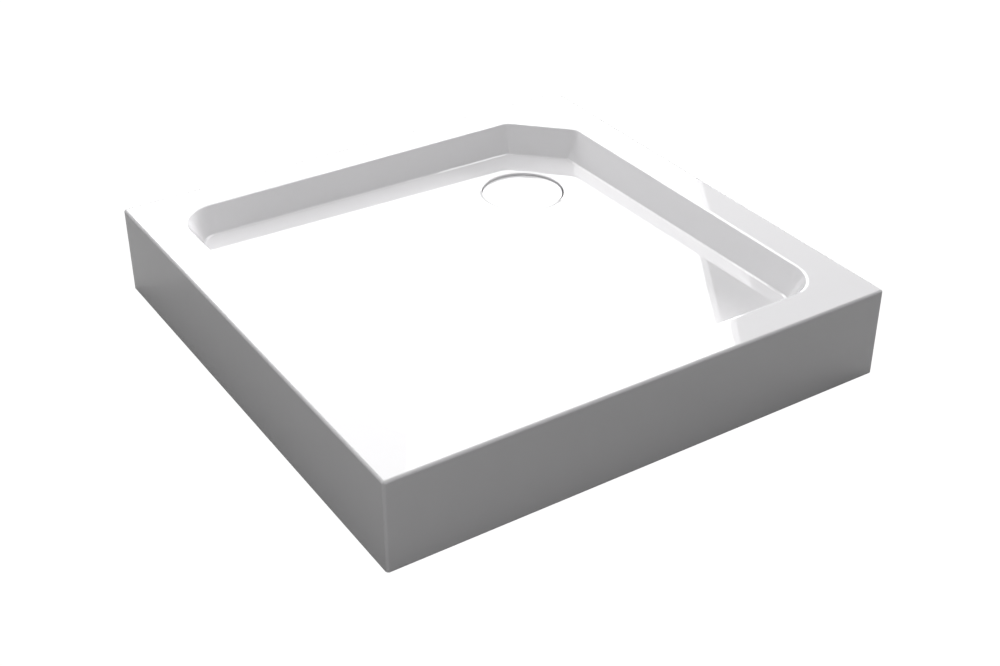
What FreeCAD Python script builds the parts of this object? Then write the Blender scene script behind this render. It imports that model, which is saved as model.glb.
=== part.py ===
"""Square shower tray with an integral apron, its support frame, feet and waste trap.

The origin is at the middle of the tray's footprint, on the floor.  +Z is up, +Y is the
back, +X is the right.  The drain is near the back right corner, and the basin's floor
falls towards it along the diagonal.  Lengths are in millimetres.
"""
import FreeCAD, Part
import os
import re

import Sketcher

UP = FreeCAD.Vector(0, 0, 1)
LEVEL_LINE = FreeCAD.Vector(-1, 1, 0)   # the line across the tray on which the floor is level
HEXAGON = 6
OCTAGON = 8
H_AXIS = -1                             # a sketch's own horizontal axis
V_AXIS = -2                             # a sketch's own vertical axis
START = 1                               # a sketch line's first point
END = 2                                 # a sketch line's last point
CENTRE = 3                              # a sketch circle's centre
TOUCHING = 0.01                         # lengths closer than this are the same

doc = FreeCAD.newDocument("shower_tray")

# --------------------------------------------------------------------- driving dimensions
SIZES = [
    ("tray_side", 900, "outer side of the square tray"),
    ("tray_height", 155, "floor to rim"),
    ("outer_corner_radius", 5, "upright corners of the apron"),
    ("outer_top_bevel", 2.6, "edge from apron to rim"),
    ("rim_width", 69, "apron face to the line where the basin wall would meet the rim"),
    ("wall_slope", 26, "basin wall, degrees from upright"),
    ("basin_corner_radius", 65, "three corners of the basin, at the rim"),
    ("bevel_leg", 100, "cut corner of the basin behind the drain"),
    ("bevel_corner_radius", 25, "both ends of the cut corner"),
    ("lip_radius", 7, "edge from rim to basin wall"),
    ("floor_depth", 43, "rim to basin floor, at the middle of the tray"),
    ("fall_angle", 0.76, "fall of the basin floor along the diagonal, degrees"),
    ("sheet", 4, "acrylic sheet"),
    ("laminate", 3, "glass fibre laminate behind the sheet"),
    ("laminate_hem", 15, "bare strip of apron under the laminate's edge"),
    ("drain_offset", 212, "middle of the tray to the drain, along X and along Y"),
    ("recess_radius", 73.3, "well for the drain cover"),
    ("recess_edge", 3, "eased edge at the top of the well's side"),
    ("recess_floor", 89, "height of the well's floor"),
    ("waste_hole_radius", 45, "hole for a 90 mm waste"),
    ("notch_radius", 30, "half the width of the apron's pipe notch"),
    ("batten_width", 40, "timber under the rim"),
    ("batten_depth", 18, "timber under the rim"),
    ("batten_edge", 1, "planed edge of the timber"),
    ("board_thickness", 12, "chipboard under the basin floor"),
    ("board_side", 680, "chipboard under the basin floor"),
    ("board_bevel", 110, "cut corner of the board"),
    ("board_hole_radius", 88, "room for the well in the board"),
    ("rail_size", 25, "square steel tube"),
    ("rail_wall", 1.5, "wall of the steel tube"),
    ("rail_bend", 1.6, "outer corners of the steel tube"),
    ("rail_length", 670, "side rails"),
    ("foot_offset", 315, "middle of the tray to a corner foot, along X and along Y"),
    ("cap_thickness", 2, "flange of a rail's end cap"),
    ("cap_depth", 12, "plug of a rail's end cap"),
    ("nut_across_flats", 17, "M10 nut"),
    ("weld_nut_height", 12, "nut welded into the rail's lower wall"),
    ("stud_radius", 5, "M10 foot stud"),
    ("thread_clearance", 0.06, "stud in its nut"),
    ("stud_length", 76, "whole stud, from the pad's socket up"),
    ("stud_hex_height", 14, "spanner hexagon at the lower end of the stud"),
    ("stud_hex_flats", 13, "spanner hexagon at the lower end of the stud"),
    ("seat_height", 4, "floor of the pad's socket above the ground"),
    ("seat_gap", 0.1, "lower end of the leaning stud above the socket's floor"),
    ("seat_clearance", 0.12, "stud's hexagon in the pad's socket"),
    ("pad_width", 46, "foot pad across its flats"),
    ("pad_edge", 4, "foot pad's thickness at its edge"),
    ("pad_hub_width", 25, "top of the foot pad across its flats"),
    ("pad_height", 12.5, "foot pad"),
    ("body_gasket", 2, "seal between the tray and the trap"),
    ("plate_radius", 57, "flange of the waste"),
    ("plate_thickness", 2.5, "flange of the waste"),
    ("skirt_radius", 43.5, "threaded skirt under the flange"),
    ("skirt_wall", 3, "threaded skirt under the flange"),
    ("skirt_bottom", 70, "lower end of the skirt"),
    ("trap_flange_radius", 58, "trap body"),
    ("trap_flange", 5, "trap body"),
    ("bowl_radius", 43.6, "inside of the trap"),
    ("trap_wall", 3.4, "trap body"),
    ("trap_bottom", 14, "underside of the trap above the floor"),
    ("outlet_height", 38, "axis of the outlet above the floor"),
    ("outlet_radius", 23.5, "outside of the outlet socket"),
    ("outlet_end", 84, "drain's axis to the end of the socket"),
    ("outlet_bore", 17, "waterway from the trap into the socket"),
    ("socket_radius", 20.1, "socket for a 40 mm waste pipe"),
    ("socket_depth", 26, "socket for a 40 mm waste pipe"),
    ("union_width", 56, "outlet nut across its flats"),
    ("union_grip", 18, "length of the outlet nut on the socket"),
    ("union_clearance", 0.1, "outlet nut on the socket"),
    ("union_lip", 4, "outlet nut's inward end"),
    ("union_bore", 20.8, "outlet nut's inward end"),
    ("insert_rim_radius", 46, "rim of the trap insert"),
    ("insert_rim", 2.5, "rim of the trap insert"),
    ("dip_radius", 18.5, "dip tube"),
    ("dip_wall", 1.5, "dip tube"),
    ("dip_bottom", 24, "lower end of the dip tube"),
    ("cup_radius", 27.5, "cup round the dip tube"),
    ("cup_wall", 1.5, "cup round the dip tube"),
    ("cup_top", 66, "weir of the cup"),
    ("cup_bottom", 18, "underside of the cup"),
    ("cover_radius", 71, "drain cover"),
    ("cover_thickness", 3, "drain cover"),
    ("cover_top", 102, "top of the drain cover"),
    ("cover_edge", 1, "rounded edge of the drain cover"),
    ("cover_leg_circle", 50, "legs under the drain cover"),
    ("cover_leg_width", 7, "legs under the drain cover"),
]

sheet = doc.addObject("Spreadsheet::Sheet", "Sizes")
for row, (alias, size, note) in enumerate(SIZES, start=1):
    sheet.set(f"A{row}", alias)
    sheet.set(f"B{row}", str(size))
    sheet.set(f"C{row}", note)
    sheet.setAlias(f"B{row}", alias)
doc.recompute()

ALIASES = {alias for alias, size, note in SIZES}


def formula(text):
    """Write a formula over the sheet's aliases as an expression of the document."""
    def name_in_sheet(word):
        return f"Sizes.{word[0]}" if word[0] in ALIASES else word[0]
    return re.sub(r"[a-z_]+", name_in_sheet, str(text))


def value(text):
    """The present value of a formula over the sheet's aliases."""
    return float(sheet.evalExpression(formula(text)))


def bind(item, **formulas):
    """Bind properties of an object to formulas over the sheet's aliases."""
    for name, text in formulas.items():
        item.setExpression(name, formula(text))


# ------------------------------------------------------------------------ building blocks
def new_body(name):
    return doc.addObject("PartDesign::Body", name)


def new_sketch(body, name, plane="XY_Plane", offset="0", across="0"):
    """A sketch on one of the body's own origin planes, moved out by offset along its normal."""
    sketch = body.newObject("Sketcher::SketchObject", name)
    support = next(item for item in body.Origin.OriginFeatures if item.Role == plane)
    sketch.AttachmentSupport = [(support, "")]
    sketch.MapMode = "FlatFace"
    sketch.setExpression("AttachmentOffset.Base.z", formula(offset))
    sketch.setExpression("AttachmentOffset.Base.x", formula(across))
    return sketch


def hold(sketch, geometry, point, place):
    """Dimension one point of a sketch from the sketch's origin, both ways."""
    for kind, axis, text in (("DistanceX", V_AXIS, place[0]), ("DistanceY", H_AXIS, place[1])):
        if abs(value(text)) < TOUCHING:
            sketch.addConstraint(Sketcher.Constraint("PointOnObject", geometry, point, axis))
            continue
        index = sketch.addConstraint(Sketcher.Constraint(kind, geometry, point, value(text)))
        sketch.setExpression(f"Constraints[{index}]", formula(text))


def outline(sketch, corners):
    """A closed outline of straight lines through dimensioned corners."""
    places = [FreeCAD.Vector(value(x), value(y), 0) for x, y in corners]
    first = sketch.GeometryCount
    for start, end in zip(places, places[1:] + places[:1]):
        sketch.addGeometry(Part.LineSegment(start, end), False)
    last = sketch.GeometryCount - 1
    for line in range(first, last + 1):
        following = line + 1 if line < last else first
        sketch.addConstraint(Sketcher.Constraint("Coincident", line, END, following, START))
    for line, place in zip(range(first, last + 1), corners):
        hold(sketch, line, START, place)


def circle(sketch, x, y, radius):
    middle = FreeCAD.Vector(value(x), value(y), 0)
    index = sketch.addGeometry(Part.Circle(middle, UP, value(radius)), False)
    if abs(value(x)) < TOUCHING and abs(value(y)) < TOUCHING:
        sketch.addConstraint(Sketcher.Constraint("Coincident", index, CENTRE, H_AXIS, START))
    else:
        hold(sketch, index, CENTRE, (x, y))
    size = sketch.addConstraint(Sketcher.Constraint("Radius", index, value(radius)))
    sketch.setExpression(f"Constraints[{size}]", formula(radius))


def box(sketch, x, y, width, height):
    """A rectangle round the place x, y."""
    left, right = f"{x} - ({width}) / 2", f"{x} + ({width}) / 2"
    low, high = f"{y} - ({height}) / 2", f"{y} + ({height}) / 2"
    outline(sketch, [(left, low), (right, low), (right, high), (left, high)])


def polygon(sketch, x, y, flats, sides):
    """A regular polygon, given by the distance across its flats."""
    reach = f"({flats}) / 2 / cos({180 / sides} * 1deg)"
    angles = [(corner + 0.5) * 360 / sides for corner in range(sides)]
    outline(sketch, [(f"{x} + {reach} * cos({angle} * 1deg)", f"{y} + {reach} * sin({angle} * 1deg)")
                     for angle in angles])


def pad(body, sketch, length, name, down=False, both=False):
    feature = body.newObject("PartDesign::Pad", name)
    feature.Profile = sketch
    feature.Reversed = down
    feature.Midplane = both
    bind(feature, Length=length)
    body.Tip = feature
    doc.recompute()
    return feature


def pocket(body, sketch, length, name, up=False, both=False):
    """Cut a sketch out of a body, and stop if nothing was cut."""
    before = body.Shape.Volume
    feature = body.newObject("PartDesign::Pocket", name)
    feature.Profile = sketch
    feature.Reversed = up
    feature.Midplane = both
    bind(feature, Length=length)
    body.Tip = feature
    doc.recompute()
    if body.Shape.Volume > before - TOUCHING:
        raise RuntimeError(f"{name} cuts nothing")
    return feature


def turn(body, name, corners, offset="0", across="0"):
    """Add to a body an outline of (radius, height) corners, turned round an upright axis."""
    sketch = new_sketch(body, f"{name}_section", "XZ_Plane", offset, across)
    outline(sketch, corners)
    turned = body.newObject("PartDesign::Revolution", f"{name}_turned")
    turned.Profile = sketch
    turned.ReferenceAxis = (sketch, ["V_Axis"])
    turned.Angle = 360
    body.Tip = turned
    doc.recompute()


def lathe(name, corners):
    """A body turned round the drain's axis from an outline of (radius, height) corners."""
    body = new_body(name)
    turn(body, name, corners)
    move_to_drain(body)
    return body


def edges_where(shape, test):
    return [f"Edge{number}" for number, edge in enumerate(shape.Edges, start=1) if test(edge)]


def round_edges(body, names, radius, label, kind="PartDesign::Fillet"):
    base = body.Tip
    feature = body.newObject(kind, label)
    feature.Base = (base, names)
    bind(feature, **{"Radius" if kind.endswith("Fillet") else "Size": radius})
    body.Tip = feature
    doc.recompute()


def slope_walls(body, label):
    """Lean every upright face of the body inward below its top face."""
    base = body.Tip
    faces = [(f"Face{number}", face) for number, face in enumerate(base.Shape.Faces, start=1)]
    top = max(faces, key=lambda item: item[1].CenterOfMass.z)[0]
    walls = [face_name for face_name, face in faces if abs(face.normalAt(0, 0).z) < 0.5]
    feature = body.newObject("PartDesign::Draft", label)
    feature.Base = (base, walls)
    feature.NeutralPlane = (base, [top])
    feature.Reversed = True
    bind(feature, Angle="wall_slope")
    body.Tip = feature
    doc.recompute()


def middle_of(edge):
    return edge.valueAt((edge.FirstParameter + edge.LastParameter) / 2)


def upright(edge):
    return abs(edge.tangentAt(edge.FirstParameter).z) > 0.8


def cut(name, base, tool):
    feature = doc.addObject("Part::Cut", name)
    feature.Base = base
    feature.Tool = tool
    doc.recompute()
    return feature


def fuse(name, items):
    feature = doc.addObject("Part::MultiFuse", name)
    feature.Shapes = items
    doc.recompute()
    return feature


def group(name, items):
    """One node that holds several separate solids."""
    feature = doc.addObject("Part::Compound", name)
    feature.Links = items
    doc.recompute()
    return feature


def cylinder(name, radius, height, place):
    item = doc.addObject("Part::Cylinder", name)
    bind(item, Radius=radius, Height=height)
    for axis, text in zip("xyz", place):
        item.setExpression(f"Placement.Base.{axis}", formula(text))
    return item


def move_to_drain(item):
    bind(item, **{"Placement.Base.x": "drain_offset", "Placement.Base.y": "drain_offset"})


def tilt(item, placement="Placement"):
    """Lean a placement with the fall of the basin floor."""
    place = getattr(item, placement)
    place.Rotation = FreeCAD.Rotation(LEVEL_LINE, value("fall_angle"))
    setattr(item, placement, place)
    item.setExpression(f"{placement}.Rotation.Angle", formula("fall_angle"))


def lay_on_fall(item):
    """Place an item whose own z = 0 is the surface of the basin floor."""
    item.setExpression("Placement.Base.z", formula("tray_height - floor_depth"))
    tilt(item)


# -------------------------------------------------------------------------- moulded forms
FALL_TO_DRAIN = "drain_offset * sqrt(2) * tan(fall_angle * 1deg)"
BRINK = f"(tray_height - floor_depth - {FALL_TO_DRAIN})"    # basin floor at the drain's axis


def well_form(body, name, behind):
    """Add the well for the drain cover, with an eased edge on its visible side."""
    radius = f"(recess_radius + {behind})"
    floor = f"(recess_floor - {behind})"
    if value(behind) > 0:
        plan = new_sketch(body, f"{name}_plan", "XY_Plane", floor)
        circle(plan, "drain_offset", "drain_offset", radius)
        pad(body, plan, f"{BRINK} - {floor}", name)
        return
    turn(body, name, [
        ("0", floor), (radius, floor), (radius, f"{BRINK} - recess_edge"),
        (f"{radius} + 2 * recess_edge", f"{BRINK} + recess_edge"), ("0", f"{BRINK} + recess_edge")],
         "-drain_offset", "drain_offset")


def basin_form(name, behind):
    """The space of the basin and its well, grown by the distance behind the visible face."""
    grown = f"{behind} / cos(wall_slope * 1deg)"
    half = f"(tray_side / 2 - rim_width + {grown})"
    leg = f"(bevel_leg + (2 - sqrt(2)) * {grown})"
    body = new_body(name)

    plan = new_sketch(body, f"{name}_plan", "XY_Plane", "tray_height")
    outline(plan, [(f"-{half}", f"-{half}"), (half, f"-{half}"), (half, f"{half} - {leg}"),
                   (f"{half} - {leg}", half), (f"-{half}", half)])
    pad(body, plan, f"floor_depth + 20 + {behind}", f"{name}_walls", down=True)

    def at_bevel(edge):
        return upright(edge) and middle_of(edge).x + middle_of(edge).y > value(half)

    def at_corner(edge):
        return upright(edge) and not at_bevel(edge)

    for test, radius, place in ((at_corner, "basin_corner_radius", "corners"),
                                (at_bevel, "bevel_corner_radius", "bevel_ends")):
        round_edges(body, edges_where(body.Shape, test), f"{radius} + {grown}", f"{name}_{place}")
    slope_walls(body, f"{name}_slope")

    below = new_sketch(body, f"{name}_below_floor", "XY_Plane",
                       f"tray_height - floor_depth - ({behind}) / cos(fall_angle * 1deg)")
    tilt(below, "AttachmentOffset")
    box(below, "0", "0", "tray_side", "tray_side")
    pocket(body, below, "tray_height / 2", f"{name}_fall")

    well_form(body, f"{name}_well", behind)
    return body


def visible_form():
    """The tray as if it were solid: its apron, rim and basin, with their rounded edges."""
    body = new_body("tray_block")
    plan = new_sketch(body, "tray_footprint")
    box(plan, "0", "0", "tray_side", "tray_side")
    pad(body, plan, "tray_height", "tray_block_height")
    round_edges(body, edges_where(body.Shape, upright), "outer_corner_radius", "tray_corners")
    top = value("tray_height")
    on_top = edges_where(body.Shape, lambda edge: edge.BoundBox.ZMin > top - TOUCHING)
    round_edges(body, on_top, "outer_top_bevel", "tray_top_edge", "PartDesign::Chamfer")
    open_form = cut("tray_open", body, basin_form("basin", "0"))
    inside = value("tray_side / 2 - rim_width / 2")

    def at_lip(edge):
        middle = middle_of(edge)
        return abs(middle.z - top) < TOUCHING and max(abs(middle.x), abs(middle.y)) < inside

    lip = doc.addObject("Part::Fillet", "visible_form")
    lip.Base = open_form
    radius = value("lip_radius")
    lip.Edges = [(number, radius, radius) for number, edge in enumerate(open_form.Shape.Edges, start=1)
                 if at_lip(edge)]
    doc.recompute()
    return lip


def hidden_form(name, behind):
    """The tray's form moved in by the distance behind; it runs on below the tray's foot."""
    body = new_body(f"{name}_block")
    plan = new_sketch(body, f"{name}_footprint", "XY_Plane", "-laminate_hem")
    box(plan, "0", "0", f"tray_side - 2 * ({behind})", f"tray_side - 2 * ({behind})")
    pad(body, plan, f"tray_height - ({behind}) + laminate_hem", f"{name}_height")
    return cut(name, body, basin_form(f"{name}_basin", behind))


def waste_hole(name):
    return cylinder(name, "waste_hole_radius", "tray_height", ("drain_offset", "drain_offset", "0"))


def pipe_notch(name, margin="0"):
    """The arched gap in the back apron through which the waste pipe leaves."""
    body = new_body(name)
    start = "-tray_side / 2 + rim_width / 2"
    radius = f"(notch_radius + {margin})"
    arch = new_sketch(body, f"{name}_arch", "XZ_Plane", start)
    circle(arch, "drain_offset", "outlet_height", radius)
    pad(body, arch, "rim_width", f"{name}_round", down=True)
    legs = new_sketch(body, f"{name}_legs", "XZ_Plane", start)
    box(legs, "drain_offset", "0", f"2 * {radius}", "2 * outlet_height")
    pad(body, legs, "rim_width", f"{name}_straight", down=True)
    return body


sheet_back = hidden_form("sheet_back", "sheet")
laminate_back = hidden_form("laminate_back", "(sheet + laminate)")

tray_openings = fuse("tray_openings", [waste_hole("waste_hole"), pipe_notch("pipe_notch")])
tray_shell = cut("tray_shell", cut("tray_sheet", visible_form(), sheet_back), tray_openings)

hem = new_body("laminate_hem_block")
hem_plan = new_sketch(hem, "laminate_hem_plan", "XY_Plane", "-laminate_hem")
box(hem_plan, "0", "0", "tray_side", "tray_side")
pad(hem, hem_plan, "2 * laminate_hem", "laminate_hem_height")
laminate_hole = cylinder("laminate_hole", "recess_radius + sheet + 2 * laminate", "tray_height",
                         ("drain_offset", "drain_offset", "0"))
laminate_openings = fuse("laminate_openings",
                         [laminate_hole, pipe_notch("laminate_notch", "laminate"), hem])
laminate_sheet = cut("laminate_sheet", sheet_back, laminate_back)
laminate_backing = cut("laminate_backing", laminate_sheet, laminate_openings)

# ---------------------------------------------------------------- timber under the rim
BEHIND = "(sheet + laminate)"


def batten(name, along_x, side):
    """One strip of timber in the corner between the rim and the apron."""
    body = new_body(name)
    inner_half = f"(tray_side / 2 - {BEHIND})"
    middle = f"({side}) * ({inner_half} - batten_width / 2)"
    sketch = new_sketch(body, f"{name}_plan", "XY_Plane", f"tray_height - {BEHIND} - batten_depth")
    if along_x:
        box(sketch, "0", middle, f"2 * {inner_half}", "batten_width")
    else:
        box(sketch, middle, "0", "batten_width", f"2 * ({inner_half} - batten_width)")
    pad(body, sketch, "batten_depth", f"{name}_strip")
    bottom = value(f"tray_height - {BEHIND} - batten_depth")

    def planed(edge):
        return abs(middle_of(edge).z - bottom) < TOUCHING and edge.Length > 2 * value("batten_width")

    planed_edges = edges_where(body.Shape, planed)
    round_edges(body, planed_edges, "batten_edge", f"{name}_planed", "PartDesign::Chamfer")
    return body


battens = [batten("front_batten", True, "-1"), batten("back_batten", True, "1"),
           batten("left_batten", False, "-1"), batten("right_batten", False, "1")]

# ------------------------------------- board and steel frame, laid against the sloping floor
BOARD_TOP = f"-{BEHIND}"
RAIL_TOP = f"({BOARD_TOP} - board_thickness)"
RAIL_BOTTOM = f"({RAIL_TOP} - rail_size)"
FEET = {"front_left": (-1, -1), "front_right": (1, -1), "back_left": (-1, 1), "back_right": (1, 1),
        "centre": (0, 0)}
FOOT_PLACES = {name: (f"{x} * foot_offset", f"{y} * foot_offset") for name, (x, y) in FEET.items()}
RAIL_ENDS = {"left_front": (-1, -1), "left_back": (-1, 1), "right_front": (1, -1), "right_back": (1, 1)}


def floor_board():
    body = new_body("floor_board")
    plan = new_sketch(body, "board_plan", "XY_Plane", BOARD_TOP)
    half = "board_side / 2"
    short = "board_side / 2 - board_bevel"
    outline(plan, [(f"-{half}", f"-{half}"), (half, f"-{half}"), (half, short), (short, half),
                   (f"-{half}", half)])
    pad(body, plan, "board_thickness", "board_slab", down=True)
    holes = new_sketch(body, "board_holes", "XY_Plane", BOARD_TOP)
    circle(holes, "drain_offset", "drain_offset", "board_hole_radius")
    pocket(body, holes, "board_thickness", "board_well_hole")
    lay_on_fall(body)
    return body


def tube(name, along_x, length, nuts, across="0"):
    """A length of square steel tube under the board, with hexagonal holes for the feet's nuts."""
    body = new_body(name)
    sketch = new_sketch(body, f"{name}_section", "YZ_Plane" if along_x else "XZ_Plane")
    middle = f"({RAIL_BOTTOM} + rail_size / 2)"
    for side in ("rail_size", "(rail_size - 2 * rail_wall)"):
        box(sketch, across, middle, side, side)
    pad(body, sketch, length, f"{name}_tube", both=True)
    skins = (value(RAIL_TOP), value(RAIL_BOTTOM))

    def outer(edge):
        lengthwise = edge.Length > value(length) - TOUCHING
        return lengthwise and min(abs(middle_of(edge).z - skin) for skin in skins) < TOUCHING

    bends = edges_where(body.Shape, outer)
    round_edges(body, bends, "rail_bend", f"{name}_bends", "PartDesign::Chamfer")
    holes = new_sketch(body, f"{name}_nut_holes", "XY_Plane", RAIL_BOTTOM)
    for x, y in nuts:
        polygon(holes, x, y, "nut_across_flats", HEXAGON)
    pocket(body, holes, "rail_wall", f"{name}_nut_holes_cut", up=True)
    lay_on_fall(body)
    return body


def side_rail(name, side):
    across = f"{side} * foot_offset"
    return tube(name, False, "rail_length", [(across, "-foot_offset"), (across, "foot_offset")], across)


def rail_cap(name, side, end):
    """The plastic plug in one open end of a side rail."""
    body = new_body(name)
    place = f"-({end}) * rail_length / 2"
    middle = f"({RAIL_BOTTOM} + rail_size / 2)"
    flange = new_sketch(body, f"{name}_flange", "XZ_Plane", place)
    box(flange, f"{side} * foot_offset", middle, "rail_size", "rail_size")
    pad(body, flange, "cap_thickness", f"{name}_flange_pad", down=end > 0)
    face = value("rail_length / 2 + cap_thickness")
    edges = edges_where(body.Shape, lambda edge: abs(abs(edge.BoundBox.Center.y) - face) < TOUCHING)
    round_edges(body, edges, "cap_thickness / 2", f"{name}_edge", "PartDesign::Chamfer")
    plug = new_sketch(body, f"{name}_plug", "XZ_Plane", place)
    inside = "(rail_size - 2 * rail_wall)"
    box(plug, f"{side} * foot_offset", middle, inside, inside)
    pad(body, plug, "cap_depth", f"{name}_plug_pad", down=end < 0)
    lay_on_fall(body)
    return body


def weld_nuts():
    """Five hexagon nuts welded into the rails' lower walls, one for each foot stud."""
    body = new_body("weld_nuts")
    plan = new_sketch(body, "weld_nuts_plan", "XY_Plane", f"{RAIL_BOTTOM} + rail_wall")
    for x, y in FOOT_PLACES.values():
        polygon(plan, x, y, "nut_across_flats", HEXAGON)
        circle(plan, x, y, "stud_radius + thread_clearance")
    pad(body, plan, "weld_nut_height", "weld_nuts_hexagons", down=True)
    lay_on_fall(body)
    return body


board = floor_board()
rails = [side_rail("left_rail", -1), side_rail("right_rail", 1),
         tube("cross_rail", True, "2 * foot_offset - rail_size", [("0", "0")])]
caps = group("rail_caps", [rail_cap(f"rail_cap_{name}", side, end)
                           for name, (side, end) in RAIL_ENDS.items()])
rail_nuts = weld_nuts()


# ------------------------------------------------------------------------------- feet
def foot_stud(name):
    """A threaded stud on a spanner hexagon; its own origin is the middle of its lower end."""
    body = new_body(name)
    flats = new_sketch(body, f"{name}_flats")
    polygon(flats, "0", "0", "stud_hex_flats", HEXAGON)
    pad(body, flats, "stud_hex_height", f"{name}_hexagon")
    thread = new_sketch(body, f"{name}_thread", "XY_Plane", "stud_hex_height")
    circle(thread, "0", "0", "stud_radius")
    pad(body, thread, "stud_length - stud_hex_height", f"{name}_rod")
    return body


def foot_pad(name):
    """An eight-sided plastic foot, in whose eight-sided socket the stud's hexagon can turn.

    Its own origin is the middle of its socket's floor.
    """
    body = new_body(name)
    plan = new_sketch(body, f"{name}_plan", "XY_Plane", "-seat_height")
    polygon(plan, "0", "0", "pad_width", OCTAGON)
    pad(body, plan, "pad_height", f"{name}_block")
    top = value("pad_height - seat_height")
    base = body.Tip
    slope = body.newObject("PartDesign::Chamfer", f"{name}_slope")
    slope.Base = (base, edges_where(base.Shape, lambda edge: edge.BoundBox.ZMin > top - TOUCHING))
    slope.ChamferType = "Two distances"
    bind(slope, Size="(pad_width - pad_hub_width) / 2", Size2="pad_height - pad_edge")
    body.Tip = slope
    doc.recompute()
    socket = new_sketch(body, f"{name}_socket_plan")
    polygon(socket, "0", "0", "2 * (stud_hex_flats / sqrt(3) + seat_clearance)", OCTAGON)
    pocket(body, socket, "pad_height", f"{name}_socket", up=True)
    return body


def foot_seat(name):
    """The middle of a foot's socket floor: on its stud's leaning axis, just above the ground."""
    lean = FreeCAD.Rotation(LEVEL_LINE, value("fall_angle"))
    top = FreeCAD.Vector(0, 0, value("tray_height - floor_depth"))
    x, y = FOOT_PLACES[name]
    axis = lean.multVec(UP)
    on_axis = top + lean.multVec(FreeCAD.Vector(value(x), value(y), 0))
    return on_axis - axis * ((on_axis.z - value("seat_height")) / axis.z)


foot_parts = []
for foot in FEET:
    seat = foot_seat(foot)
    stud = foot_stud(f"foot_stud_{foot}")
    raised = seat + UP * value("seat_gap")
    stud.Placement = FreeCAD.Placement(raised, FreeCAD.Rotation(LEVEL_LINE, value("fall_angle")))
    base = foot_pad(f"foot_pad_{foot}")
    base.Placement = FreeCAD.Placement(seat, FreeCAD.Rotation())
    foot_parts += [stud, base]

# ------------------------------------------------------------------ waste and its trap
PLATE_TOP = "(recess_floor + plate_thickness)"
TRAP_TOP = "(recess_floor - sheet - body_gasket)"
COVER_BOTTOM = "(cover_top - cover_thickness)"
QUARTER_TURNS = ((1, 0), (0, 1), (-1, 0), (0, -1))


def body_gasket():
    """The seal between the underside of the tray's well and the trap."""
    top = f"{TRAP_TOP} + body_gasket"
    return lathe("body_gasket", [
        ("waste_hole_radius", TRAP_TOP), ("trap_flange_radius", TRAP_TOP), ("trap_flange_radius", top),
        ("waste_hole_radius", top)])


def waste_flange():
    """The flange in the well, with a threaded skirt that draws the trap up under the tray."""
    inner = "(skirt_radius - skirt_wall)"
    return lathe("waste_flange", [
        ("skirt_radius", "recess_floor"), ("plate_radius", "recess_floor"), ("plate_radius", PLATE_TOP),
        (inner, PLATE_TOP), (inner, "skirt_bottom"), ("skirt_radius", "skirt_bottom")])


def outlet_sketch(body, name, along):
    """A sketch across the outlet, at a distance from the drain's axis."""
    return new_sketch(body, name, "XZ_Plane", f"-({along})")


def trap_body():
    """The bowl under the tray, threaded inside for the flange's skirt, with its outlet socket."""
    outer = "(bowl_radius + trap_wall)"
    floor = "trap_bottom + trap_wall"
    body = lathe("trap_body", [
        ("0", "trap_bottom"), (outer, "trap_bottom"), (outer, f"{TRAP_TOP} - trap_flange"),
        ("trap_flange_radius", f"{TRAP_TOP} - trap_flange"), ("trap_flange_radius", TRAP_TOP),
        ("bowl_radius", TRAP_TOP), ("bowl_radius", floor), ("0", floor)])
    outlet = outlet_sketch(body, "outlet_plan", "bowl_radius")
    circle(outlet, "0", "outlet_height", "outlet_radius")
    pad(body, outlet, "outlet_end - bowl_radius", "outlet_tube", down=True)
    socket = outlet_sketch(body, "socket_plan", "outlet_end")
    circle(socket, "0", "outlet_height", "socket_radius")
    pocket(body, socket, "socket_depth", "socket_cut", up=True)
    waterway = outlet_sketch(body, "waterway_plan", "outlet_end")
    circle(waterway, "0", "outlet_height", "outlet_bore")
    pocket(body, waterway, "outlet_end - bowl_radius + trap_wall", "waterway_cut", up=True)
    return body


def outlet_nut():
    """The eight-sided nut on the outlet's socket."""
    body = new_body("outlet_nut")
    start = "outlet_end - union_grip"
    plan = outlet_sketch(body, "union_plan", start)
    polygon(plan, "0", "outlet_height", "union_width", OCTAGON)
    pad(body, plan, "union_grip + union_lip", "union_block", down=True)
    for name, radius, length in (("union_thread", "outlet_radius + union_clearance", "union_grip"),
                                 ("union_mouth", "union_bore", "union_grip + union_lip")):
        hole = outlet_sketch(body, f"{name}_plan", start)
        circle(hole, "0", "outlet_height", radius)
        pocket(body, hole, length, name)
    move_to_drain(body)
    return body


def dip_tube():
    """The lift-out insert: a rim that rests in the flange, and the tube that dips into the cup."""
    inner = "dip_radius - dip_wall"
    top = f"{PLATE_TOP} + insert_rim"
    return lathe("dip_tube", [
        (inner, "dip_bottom"), ("dip_radius", "dip_bottom"), ("dip_radius", PLATE_TOP),
        ("insert_rim_radius", PLATE_TOP), ("insert_rim_radius", top), (inner, top)])


def trap_cup():
    """The cup round the dip tube: the water in it is the seal, and its rim is the weir."""
    inner = "cup_radius - cup_wall"
    floor = "cup_bottom + cup_wall"
    body = lathe("trap_cup", [
        ("0", "cup_bottom"), ("cup_radius", "cup_bottom"), ("cup_radius", "cup_top"), (inner, "cup_top"),
        (inner, floor), ("0", floor)])
    ribs = new_sketch(body, "cup_ribs", "XY_Plane", "cup_top")
    for side in (-1, 1):
        box(ribs, f"{side} * (dip_radius + cup_radius - cup_wall / 2) / 2", "0",
            "cup_radius - cup_wall / 2 - dip_radius", "cup_wall")
    pad(body, ribs, "(cup_top - cup_bottom) / 2", "cup_rib_pads", down=True)
    return body


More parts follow.
